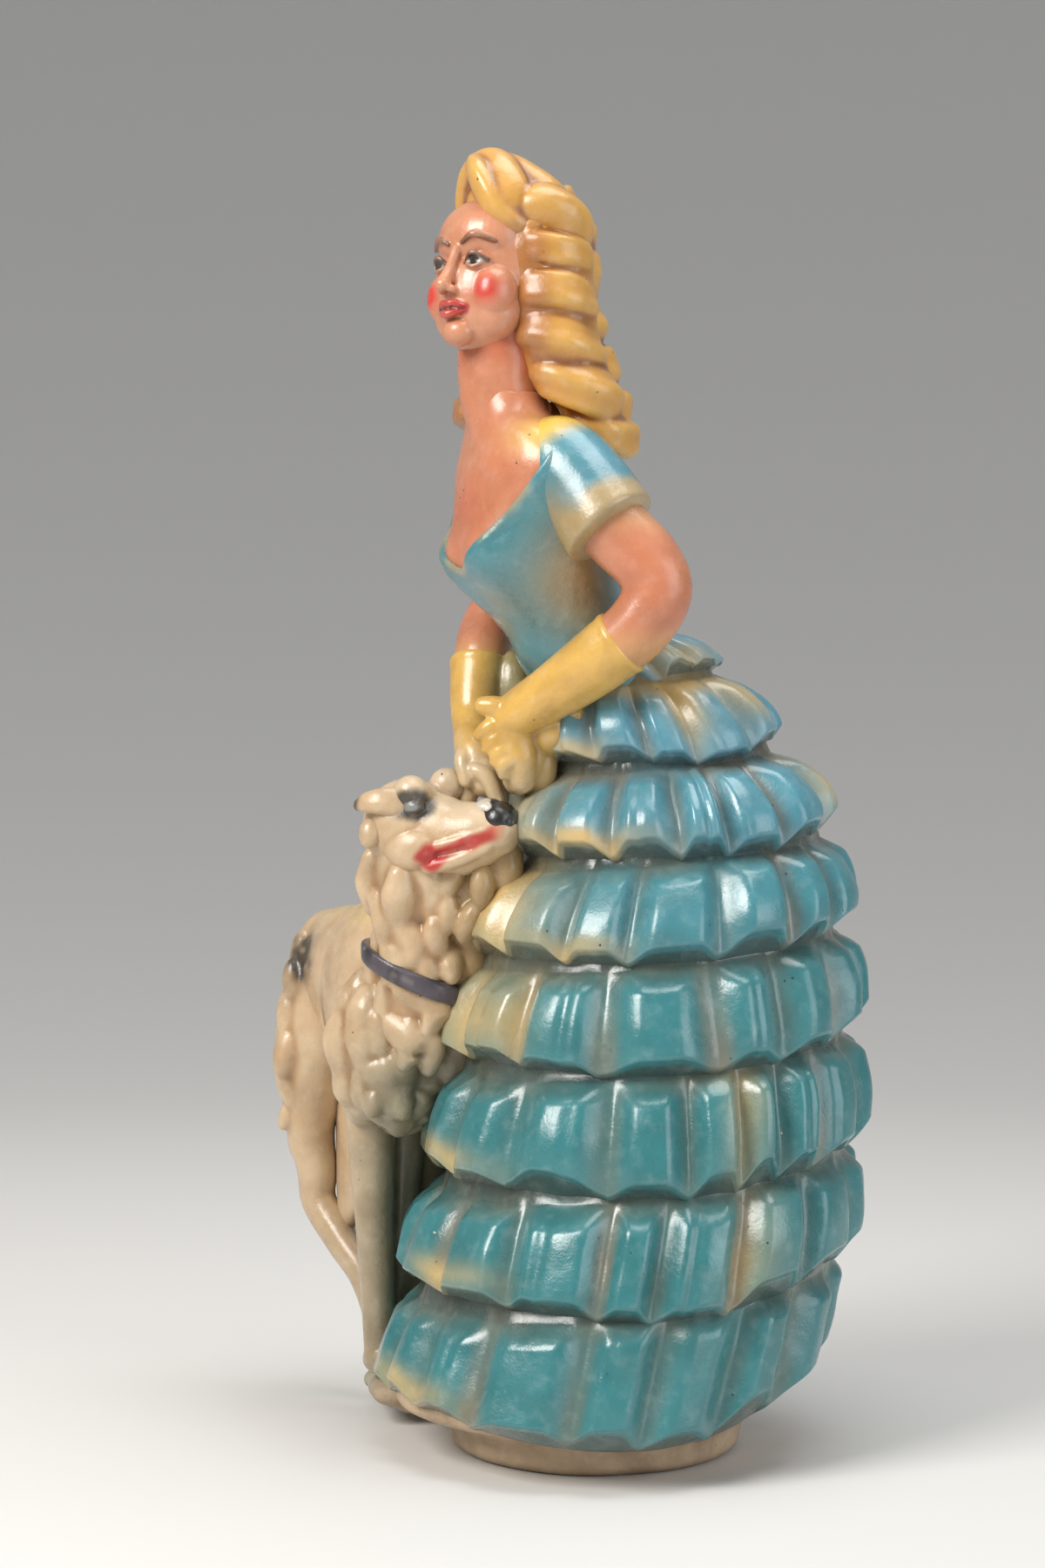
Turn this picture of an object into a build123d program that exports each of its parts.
"""Chalkware figure: a lady in a tiered gown bends to stroke a tall hound.

The real object is one hollow plaster casting. It is built here as the sections that the sculpture
falls into: a foot, a stack of hollow flounces, the upper body, and the hound on its pad.

Frame: millimetres, +Z up, the lady faces -Y and her left side is +X.
The origin is the middle of the flat face that the foot stands on.
"""

import math
import os

from build123d import *

# Foot under the gown, with a corbel and a pad that carry the hound's paws
FOOT_RADIUS = 38.0
FOOT_FLARE_RADIUS = 55.0
PAD_CENTRE = (-58.0, -34.0)
PAD_TOP = 13.0
PAD_THICKNESS = 4.0
PAD_LENGTH = 48.0
PAD_WIDTH = 19.0
PAD_TURN = 155.0
CORBEL_CENTRE = (-28.0, -16.0)
CORBEL_LENGTH = 28.0
CORBEL_WIDTH = 18.0

# Gown: hollow flounces that stack on parallel sloping planes, higher at the back
SKIRT_BOTTOM = 17.0
SKIRT_SLOPE = 6.0
FOLD_DEPTH = 4.6
FULL_DEPTH_RADIUS = 48.0
FLUTE_WIDTH = 22.0
FACING = -25.0
HEM_OVERHANG = 8.0
UNDERSIDE_REACH = 7.0
UNDERSIDE_RISE = 7.0
PLASTER_WALL = 9.0
WAIST_WIDTH = 41.0
WAIST_DEPTH = 38.0
WAIST_BACK = -2.0
# Stations down a flounce's wall: share of its height, share of its flare, share of the fold depth
WALL_STATIONS = (
    (0.00, 0.00, 0.05),
    (0.16, 0.27, 0.36),
    (0.38, 0.57, 1.00),
    (0.68, 0.87, 1.00),
    (1.00, 1.00, 1.00),
)
# Each flounce from the ground up: name, height, hem radius, how far its hem lies behind the foot, and
# the folds in view, in degrees round the gown from the side that faces out
FLOUNCES = (
    ("skirt_tier_7", 31.0, 62.0, 0.0, (-75, -57, -36, -8, 11, 32, 52, 76)),
    ("skirt_tier_6", 29.5, 64.0, 9.0, (-80, -56, -33, -8, 6, 27, 48, 70)),
    ("skirt_tier_5", 31.0, 62.0, 14.5, (-62, -39, -11, 10, 24, 36, 50, 72)),
    ("skirt_tier_4", 27.5, 59.5, 17.0, (-64, -40, -15, 16, 36, 59, 80)),
    ("skirt_tier_3", 26.0, 56.0, 18.0, (-52, -28, -9, 17, 41, 59, 80)),
    ("skirt_tier_2", 24.0, 49.0, 21.0, (-64, -41, -18, 5, 21, 42, 68)),
    ("skirt_tier_1", 22.0, 37.5, 18.0, (-84, -55, -26, -2, 18, 50, 80)),
    ("waist_ruffle", 11.0, 29.0, 10.5, (-80, -52, -27, -2, 22, 46, 72)),
)
GOWN = tuple(flounce[0] for flounce in FLOUNCES)
WAIST_HEIGHT = SKIRT_BOTTOM + sum(flounce[1] for flounce in FLOUNCES)

# Upper body: sections above the waist as rise, distance behind the foot's centre, width, depth
TORSO = (
    (10.0, -13.0, 42.0, 39.0),
    (21.0, -18.0, 48.0, 42.0),
    (33.0, -19.5, 55.0, 40.0),
    (45.0, -21.0, 59.0, 33.0),
    (53.0, -23.0, 46.0, 25.0),
    (59.0, -25.0, 27.0, 22.0),
)
NECKLINE_RISE = 41.0
NECKLINE_SLOPE = 22.0
BUST_RADIUS = 12.5
BUST_SPACING = 22.0
BUST_RISE = 24.0
BUST_FORWARD = -28.0
NECK_RADIUS = 10.0

# Head, turned to the lady's left with the chin a little up
HEAD_RISE = 95.0
HEAD_BACK = -28.0
HEAD_TURN = 22.0
HEAD_LIFT = 8.0
SKULL_WIDTH = 35.0
SKULL_DEPTH = 39.0
SKULL_HEIGHT = 43.0
JAW_RADIUS = 13.0
JAW_DROP = 9.5
NOSE_LENGTH = 9.0
NOSE_RADIUS = 3.0

# Hair: a cap, a roll over the forehead and ropes of curls, as offsets from the head, and radii
HAIR_CAP_AT = (0.0, 8.0, 5.0)
HAIR_CAP_RADII = (21.0, 18.0, 22.5)
HAIR_ROLL_AT = (5.0, -2.0, 23.0)
HAIR_ROLL_RADII = (15.5, 12.5, 12.5)
LEFT_CURLS = (
    ((15.5, 4.0, 6.0), 9.0),
    ((18.5, 6.0, -2.0), 8.5),
    ((19.0, 7.5, -11.0), 8.5),
    ((18.5, 11.0, -19.0), 8.5),
    ((16.5, 16.0, -26.0), 9.0),
    ((14.0, 22.0, -33.0), 9.0),
    ((12.5, 26.0, -40.0), 7.0),
)
RIGHT_CURLS = (
    ((-17.0, 4.0, 8.0), 9.5),
    ((-19.0, 5.0, -3.0), 9.0),
    ((-20.5, 4.0, -14.0), 9.0),
    ((-21.0, 1.0, -25.0), 8.5),
    ((-20.0, -3.0, -34.0), 7.0),
)
BACK_CURLS = (
    ((2.0, 14.0, -6.0), 12.0),
    ((1.0, 19.0, -20.0), 12.0),
    ((0.0, 26.0, -33.0), 10.5),
)

# Arms: sleeves, elbows, glove cuffs and wrists as places across, back and above the waist
SLEEVE_TOP = (17.0, -19.0, 48.0)
SLEEVE_HEM = (31.0, -10.0, 26.0)
SLEEVE_TOP_RADIUS = 11.0
SLEEVE_HEM_RADIUS = 12.5
ARM_RADIUS = 9.0
ELBOW_RADIUS = 8.5
CUFF_RADIUS = 10.5
WRIST_RADIUS = 6.0
HAND_RADIUS = 7.0
FINGER_RADIUS = 4.0
LEFT_ELBOW = (39.0, 1.0, 14.5)
LEFT_CUFF = (31.0, -5.0, -3.0)
LEFT_WRIST = (14.0, -20.0, -16.0)
RIGHT_ELBOW = (-37.0, -10.0, 12.0)
RIGHT_CUFF = (-28.0, -24.0, -4.0)
RIGHT_WRIST = (-20.0, -27.0, -19.0)
# Both hands, as offsets from the top of the hound's skull
LEFT_HAND = (18.5, 20.0, 15.0)
LEFT_FINGERTIPS = (17.5, 19.0, -3.0)
RIGHT_HAND = (5.5, 17.5, 6.0)
RIGHT_FINGERTIPS = (14.5, 17.0, -3.0)

# Hound: places are offsets from the middle of the pad's top
CHEST_AT = (29.0, -10.0, 105.0)
BODY_LENGTH = 68.0
# Body sections from rump to chest: share of its length, rise from the chest's middle, width, depth
BODY_SECTIONS = (
    (0.00, 2.0, 20.0, 26.0),
    (0.10, 0.0, 28.0, 46.0),
    (0.40, 6.0, 27.0, 40.0),
    (0.70, 2.0, 29.0, 58.0),
    (0.93, 0.0, 27.0, 58.0),
    (1.00, 0.0, 20.0, 44.0),
)
FUR_AT = (28.0, -13.0, 96.0)
FUR_RADII = (15.0, 16.0, 25.0)
HOUND_HEAD_AT = (44.5, -13.5, 154.5)
HOUND_SKULL_RADII = (13.0, 11.0, 13.5)
HOUND_NECK_FOOT = (36.0, -8.0, 106.0)
HOUND_NECK_FOOT_RADIUS = 15.5
HOUND_NECK_TOP_RADIUS = 11.5
COLLAR_RISE = 9.0
COLLAR_BAND = 5.0
COLLAR_RADIUS = 16.5
COLLAR_TILT = 25.0
MUZZLE_TURN = 43.0
MUZZLE_LENGTH = 25.0
MUZZLE_ROOT_RADIUS = 10.5
MUZZLE_TIP_RADIUS = 8.0
NOSE_PAD_RADIUS = 4.8
EAR_LENGTH = 11.0
EAR_ROOT_RADIUS = 4.5
EAR_TIP_RADIUS = 2.2
TAIL_ROOT_RADIUS = 4.5
TAIL_TIP_RADIUS = 2.2
TAIL_DROP = 70.0
TAIL_BOW = 5.0
PAW_RADII = (7.0, 5.4, 4.5)
FORELEG_TOP_RADIUS = 8.5
FORELEG_FOOT_RADIUS = 4.6
THIGH_RADIUS = 14.0
STIFLE_RADIUS = 10.0
HOCK_RADIUS = 5.4
FORELEGS = {
    "hound_right_foreleg": ((20.0, -17.0, 90.0), (9.0, -9.5, 0.0)),
    "hound_left_foreleg": ((15.0, -4.0, 90.0), (1.0, -2.0, 0.0)),
}
# Thigh, stifle and hock from below the rump, then pastern and paw from the middle of the pad
HINDLEGS = {
    "hound_right_hindleg": (
        ((12.0, -14.5, 108.0), (18.0, -16.0, 78.0), (6.0, -18.0, 43.0)),
        ((-16.0, -11.0, 26.0), (-5.0, -7.0, 0.0)),
    ),
    "hound_left_hindleg": (
        ((12.0, -3.0, 108.0), (18.0, -1.0, 78.0), (6.0, -1.0, 43.0)),
        ((-22.0, 3.0, 26.0), (-15.0, 5.0, 0.0)),
    ),
}
# Rounded bodies are lofted through level rings, up to this latitude above and below the middle
EGG_CAP_LATITUDE = 80.0
EGG_HALF_LEVELS = 3
HOUND_TRUNK = ("hound_body", "hound_neck", "hound_collar", "hound_chest_fur", "hound_tail")

pieces = {}
seats = {}


def keep(name, piece, seat_shape):
    """Keeps a piece, and the shape that later pieces are seated against."""
    pieces[name] = piece
    seats[name] = seat_shape


def boxes_meet(one, other):
    """True where two shapes' bounding boxes touch or overlap."""
    a = one.bounding_box(optimal=False)
    b = other.bounding_box(optimal=False)
    lows = zip(a.min, b.max)
    highs = zip(b.min, a.max)
    return all(low <= high for low, high in (*lows, *highs))


def seat(name, shape, *against):
    """Keeps a piece, cut back so that it meets its neighbours face to face."""
    others = [seats[neighbour] for neighbour in against if boxes_meet(shape, seats[neighbour])]
    cut = shape.cut(*others) if others else shape
    keep(name, max(cut.solids(), key=lambda solid: solid.volume), shape)


def egg(centre, radii, turn=0.0):
    """A body of three radii, lofted through level ellipses, turned about the vertical and placed."""
    rings = []
    for k in range(-EGG_HALF_LEVELS, EGG_HALF_LEVELS + 1):
        latitude = math.radians(EGG_CAP_LATITUDE) * k / EGG_HALF_LEVELS
        ring = Ellipse(radii[0] * math.cos(latitude), radii[1] * math.cos(latitude))
        rings.append(Pos(0, 0, radii[2] * math.sin(latitude)) * ring)
    return Pos(*centre) * Rot(0, 0, turn) * loft(rings)


def beads(centre, chain):
    """Balls at offsets from one centre, fused to one lumpy rope."""
    balls = [Pos(*(centre + Vector(*offset))) * Sphere(radius) for offset, radius in chain]
    return balls[0].fuse(*balls[1:])


def limb(*stations):
    """A smooth tapering limb through (point, radius) stations, square to its path at each one."""
    points = [point for point, _ in stations]
    faces = []
    for i, (point, radius) in enumerate(stations):
        along = points[min(i + 1, len(points) - 1)] - points[max(i - 1, 0)]
        side = Vector(0, 1, 0) - along * (along.Y / along.dot(along))
        faces.append(Plane(origin=point, x_dir=side, z_dir=along) * Circle(radius))
    return loft(faces)


def hem_plane(height, back):
    """A plane of the gown's slope through the middle of the skirt at a height and a distance back."""
    slope = math.radians(SKIRT_SLOPE)
    lean = (0, -math.sin(slope), math.cos(slope))
    return Plane(origin=(0, back, height), x_dir=(1, 0, 0), z_dir=lean)


def all_folds(seen):
    """The folds in view, with more spread evenly over the sides that are out of view."""
    gap = 360.0 - (seen[-1] - seen[0])
    count = round(gap / FLUTE_WIDTH)
    return [*seen, *(seen[-1] + gap * k / count for k in range(1, count))]


def scallops(plane, fold_radius, depth, folds):
    """A closed outline of convex flutes that meet in folds at the given angles."""

    def point(radius, angle):
        turn = math.radians(FACING + angle)
        return (radius * math.cos(turn), radius * math.sin(turn))

    arcs = [
        ThreePointArc(
            point(fold_radius, start),
            point(fold_radius + depth, (start + end) / 2),
            point(fold_radius, end),
        )
        for start, end in zip(folds, (*folds[1:], folds[0] + 360.0))
    ]
    return plane * make_face(Wire(arcs))


def build_gown():
    """Hollow flounces from the hem up: a neck under the hem above, a fluted wall, a sloping underside.

    The underside is a cone that falls inwards, so it cuts the flutes higher than the folds between
    them and leaves a scalloped hem.
    """
    height = SKIRT_BOTTOM
    for i, (name, rise, radius, back, seen) in enumerate(FLOUNCES):
        if i + 1 < len(FLOUNCES):
            _, _, radius_above, top_back, _ = FLOUNCES[i + 1]
            top_radius = radius_above - HEM_OVERHANG
        else:
            top_radius = WAIST_DEPTH / 2
            top_back = WAIST_BACK
        size = min(1.0, radius / FULL_DEPTH_RADIUS)
        fold_depth = FOLD_DEPTH * size
        flare = radius - fold_depth - top_radius
        folds = all_folds(seen)
        sections = []
        rings = []
        for down, out, deep in WALL_STATIONS:
            plane = hem_plane(height + rise * (1 - down), top_back + (back - top_back) * down)
            sections.append(scallops(plane, top_radius + flare * out, fold_depth * deep, folds))
            rings.append(plane * Circle(top_radius + flare * out + fold_depth * deep))
        hem = hem_plane(height, back)
        top = hem_plane(height + rise, top_back)
        spread = rise * UNDERSIDE_REACH / (UNDERSIDE_RISE * size)
        inner_hem = radius - UNDERSIDE_REACH
        underside = loft([hem * Circle(inner_hem), top * Circle(inner_hem + spread)], ruled=True)
        hollow_hem = hem * Circle(inner_hem - PLASTER_WALL)
        hollow = loft([hollow_hem, top * Circle(top_radius - PLASTER_WALL)], ruled=True)
        fluted = loft(sections, ruled=True) & underside
        keep(name, (fluted - hollow).solid(), loft(rings, ruled=True) & underside)
        height += rise


def build_foot():
    """The plaster foot that closes the hollow gown, fused to the corbel under the hound's paws."""
    hem = hem_plane(SKIRT_BOTTOM, FLOUNCES[0][3])
    cone = loft([Circle(FOOT_RADIUS), hem * Circle(FOOT_FLARE_RADIUS)], ruled=True)
    pad = Rot(0, 0, PAD_TURN) * Ellipse(PAD_LENGTH / 2, PAD_WIDTH / 2)
    corbel = loft(
        [
            Pos(*CORBEL_CENTRE, 0) * Rot(0, 0, PAD_TURN) * Ellipse(CORBEL_LENGTH / 2, CORBEL_WIDTH / 2),
            Pos(*PAD_CENTRE, PAD_TOP - PAD_THICKNESS) * pad,
            Pos(*PAD_CENTRE, PAD_TOP) * pad,
        ],
        ruled=True,
    )
    seat("foot", cone + corbel, "skirt_tier_7")


def above_waist(place):
    """A place across, back and above the waist, as a point."""
    return Vector(place[0], place[1], WAIST_HEIGHT + place[2])


def build_torso():
    """The bodice below the neckline and the bare shoulders above it, cut from one loft."""
    waist = hem_plane(WAIST_HEIGHT, WAIST_BACK) * Ellipse(WAIST_WIDTH / 2, WAIST_DEPTH / 2)
    rings = [
        Pos(0, back, WAIST_HEIGHT + rise) * Ellipse(width / 2, depth / 2)
        for rise, back, width, depth in TORSO
    ]
    torso = loft([waist, *rings])
    for side in (-1, 1):
        centre = above_waist((side * BUST_SPACING / 2, BUST_FORWARD, BUST_RISE))
        torso = torso + Pos(*centre) * Sphere(BUST_RADIUS)
    torso = torso - seats["waist_ruffle"]
    neckline = Plane(
        origin=above_waist((0, BUST_FORWARD, NECKLINE_RISE)),
        x_dir=(1, 0, 0),
        z_dir=Vector(0, 0, 1).rotate(Axis.X, NECKLINE_SLOPE),
    )
    keep("bodice", split(torso, neckline, keep=Keep.BOTTOM).solid(), torso)
    keep("shoulders", split(torso, neckline, keep=Keep.TOP).solid(), torso)


def build_head():
    """An egg-shaped head with a jaw and a nose on a plain neck."""
    skull = egg((0, 0, 0), (SKULL_WIDTH / 2, SKULL_DEPTH / 2, SKULL_HEIGHT / 2))
    face = -SKULL_DEPTH / 2
    jaw = Pos(0, face + JAW_RADIUS, -JAW_DROP) * Sphere(JAW_RADIUS)
    bridge = Vector(0, face + NOSE_RADIUS, NOSE_LENGTH / 2)
    tip = Vector(0, face, -NOSE_LENGTH / 2)
    nose = limb((bridge, NOSE_RADIUS / 2), (tip, NOSE_RADIUS))
    centre = above_waist((0, HEAD_BACK, HEAD_RISE))
    place = Pos(*centre) * Rot(0, 0, HEAD_TURN) * Rot(-HEAD_LIFT, 0, 0)
    seat("head", place * (skull + jaw + nose))
    top_rise, top_back, _, _ = TORSO[-1]
    root = above_waist((0, top_back, top_rise - NECK_RADIUS))
    seat("neck", limb((root, NECK_RADIUS), (centre, NECK_RADIUS)), "head", "shoulders")


def build_hair():
    """Hair dressed in a roll over the forehead, a cap behind it, and ropes of curls below."""
    centre = above_waist((0, HEAD_BACK, HEAD_RISE))
    body = ("head", "neck", "shoulders")
    seat("hair_cap", egg(centre + Vector(*HAIR_CAP_AT), HAIR_CAP_RADII), *body)
    roll = egg(centre + Vector(*HAIR_ROLL_AT), HAIR_ROLL_RADII, HEAD_TURN)
    seat("hair_roll", roll, "head", "hair_cap")
    seat("left_curls", beads(centre, LEFT_CURLS), *body, "hair_cap", "hair_roll")
    seat("right_curls", beads(centre, RIGHT_CURLS), *body, "hair_cap", "hair_roll")
    seat("back_curls", beads(centre, BACK_CURLS), *body, "hair_cap", "left_curls", "right_curls")


def above_pad(place):
    """A place measured from the middle of the pad's top, as a point."""
    return Vector(PAD_CENTRE[0] + place[0], PAD_CENTRE[1] + place[1], PAD_TOP + place[2])


def build_hound():
    """The hound's trunk: a deep-chested body, a furred neck with a collar, a long head and a tail."""
    chest = above_pad(CHEST_AT)
    rings = []
    for share, rise, width, depth in BODY_SECTIONS:
        centre = chest + Vector(BODY_LENGTH * (share - 1), 0, rise)
        rings.append(Plane(origin=centre, x_dir=(0, 1, 0), z_dir=(1, 0, 0)) * Ellipse(width / 2, depth / 2))
    seat("hound_body", loft(rings), *GOWN)

    forward = Vector(1, 0, 0).rotate(Axis.Z, MUZZLE_TURN)
    right = Vector(0, -1, 0).rotate(Axis.Z, MUZZLE_TURN)
    up = Vector(0, 0, 1)
    skull = above_pad(HOUND_HEAD_AT)
    tip = skull + forward * MUZZLE_LENGTH
    muzzle = limb((skull, MUZZLE_ROOT_RADIUS), (tip, MUZZLE_TIP_RADIUS))
    seat("hound_head", egg(skull, HOUND_SKULL_RADII, MUZZLE_TURN) + muzzle, *GOWN)
    nose = tip + up * (MUZZLE_TIP_RADIUS - NOSE_PAD_RADIUS)
    seat("hound_nose", Pos(*nose) * Sphere(NOSE_PAD_RADIUS), "hound_head", *GOWN)
    for side, sign in (("right", 1), ("left", -1)):
        root = skull + right * (sign * (HOUND_SKULL_RADII[1] - EAR_TIP_RADIUS)) + up * EAR_ROOT_RADIUS
        lobe = limb((root, EAR_ROOT_RADIUS), (root - forward * EAR_LENGTH, EAR_TIP_RADIUS))
        seat(f"hound_{side}_ear", lobe, "hound_head")

    foot = above_pad(HOUND_NECK_FOOT)
    neck = limb((foot, HOUND_NECK_FOOT_RADIUS), (skull, HOUND_NECK_TOP_RADIUS))
    seat("hound_neck", neck, "hound_body", "hound_head", "hound_right_ear", "hound_left_ear", *GOWN)
    axis = (skull - foot).normalized()
    place = Plane(origin=foot + axis * COLLAR_RISE, x_dir=right, z_dir=axis).rotated((-COLLAR_TILT, 0, 0))
    band = place * Cylinder(COLLAR_RADIUS, COLLAR_BAND)
    seat("hound_collar", band, "hound_body", "hound_neck", *GOWN)
    fur = egg(above_pad(FUR_AT), FUR_RADII)
    seat("hound_chest_fur", fur, "hound_body", "hound_neck", "hound_collar", *GOWN)

    rump = chest + Vector(-BODY_LENGTH, 0, BODY_SECTIONS[0][1])
    tail = limb(
        (rump, TAIL_ROOT_RADIUS),
        (rump + Vector(-TAIL_BOW, 0, -TAIL_DROP / 2), TAIL_ROOT_RADIUS),
        (rump + Vector(0, 0, -TAIL_DROP), TAIL_TIP_RADIUS),
    )
    seat("hound_tail", tail, "hound_body")


def stand(name, column, paw_place, *neighbours):
    """Keeps a leg with its paw, cut off level with the pad so that it stands flat."""
    ground = Plane(origin=above_pad((0, 0, 0)), z_dir=(0, 0, 1))
    paw = egg(above_pad(paw_place), PAW_RADII)
    seat(name, split(column + paw, ground, keep=Keep.TOP), *neighbours)


def build_legs():
    """Four legs that run from inside the body down to their paws."""
    legs = []
    ankle = Vector(0, 0, PAW_RADII[2])
    for name, (top, paw) in FORELEGS.items():
        column = limb((above_pad(top), FORELEG_TOP_RADIUS), (above_pad(paw) + ankle, FORELEG_FOOT_RADIUS))
        stand(name, column, paw, *HOUND_TRUNK, *GOWN, *legs)
        legs.append(name)
    radii = (THIGH_RADIUS, STIFLE_RADIUS, HOCK_RADIUS, HOCK_RADIUS, HOCK_RADIUS)
    rump = Vector(CHEST_AT[0] - BODY_LENGTH, 0, 0)
    for name, (upper, lower) in HINDLEGS.items():
        points = [above_pad(place) + rump for place in upper] + [above_pad(place) for place in lower]
        points[-1] = points[-1] + ankle
        stand(name, limb(*zip(points, radii)), lower[-1], *HOUND_TRUNK, *GOWN, *legs)
        legs.append(name)


def build_arms():
    """Short sleeves, bare arms and long gloves; both hands meet over the hound's head."""
    crown = above_pad(HOUND_HEAD_AT) + Vector(0, 0, HOUND_SKULL_RADII[2])
    sides = (
        ("left", 1, LEFT_ELBOW, LEFT_CUFF, LEFT_WRIST, LEFT_HAND, LEFT_FINGERTIPS),
        ("right", -1, RIGHT_ELBOW, RIGHT_CUFF, RIGHT_WRIST, RIGHT_HAND, RIGHT_FINGERTIPS),
    )
    for side, sign, *places, hand, fingertips in sides:
        top = above_waist((sign * SLEEVE_TOP[0], *SLEEVE_TOP[1:]))
        hem = above_waist((sign * SLEEVE_HEM[0], *SLEEVE_HEM[1:]))
        elbow, cuff, wrist = (above_waist(place) for place in places)
        sleeve, arm, glove = (f"{side}_{piece}" for piece in ("sleeve", "arm", "glove"))
        seat(sleeve, limb((top, SLEEVE_TOP_RADIUS), (hem, SLEEVE_HEM_RADIUS)), "bodice")
        bare = limb(
            ((top + hem) / 2, ARM_RADIUS),
            (hem, ARM_RADIUS),
            (elbow, ELBOW_RADIUS),
            (cuff, ARM_RADIUS),
            ((cuff + wrist) / 2, WRIST_RADIUS),
        )
        seat(arm, bare, sleeve, "bodice", "waist_ruffle", "skirt_tier_1")
        covered = limb(
            (cuff, CUFF_RADIUS),
            (wrist, WRIST_RADIUS),
            (crown + Vector(*hand), HAND_RADIUS),
            (crown + Vector(*fingertips), FINGER_RADIUS),
        )
        others = ("hound_head", "hound_nose", "hound_left_ear", "bodice", "left_glove")
        seat(glove, covered, arm, *(name for name in others if name in seats), *GOWN)


build_gown()
build_foot()
build_torso()
build_head()
build_hair()
build_hound()
build_legs()
build_arms()

os.makedirs("parts", exist_ok=True)
for piece_name, piece in pieces.items():
    export_step(piece, f"parts/{piece_name}.step")
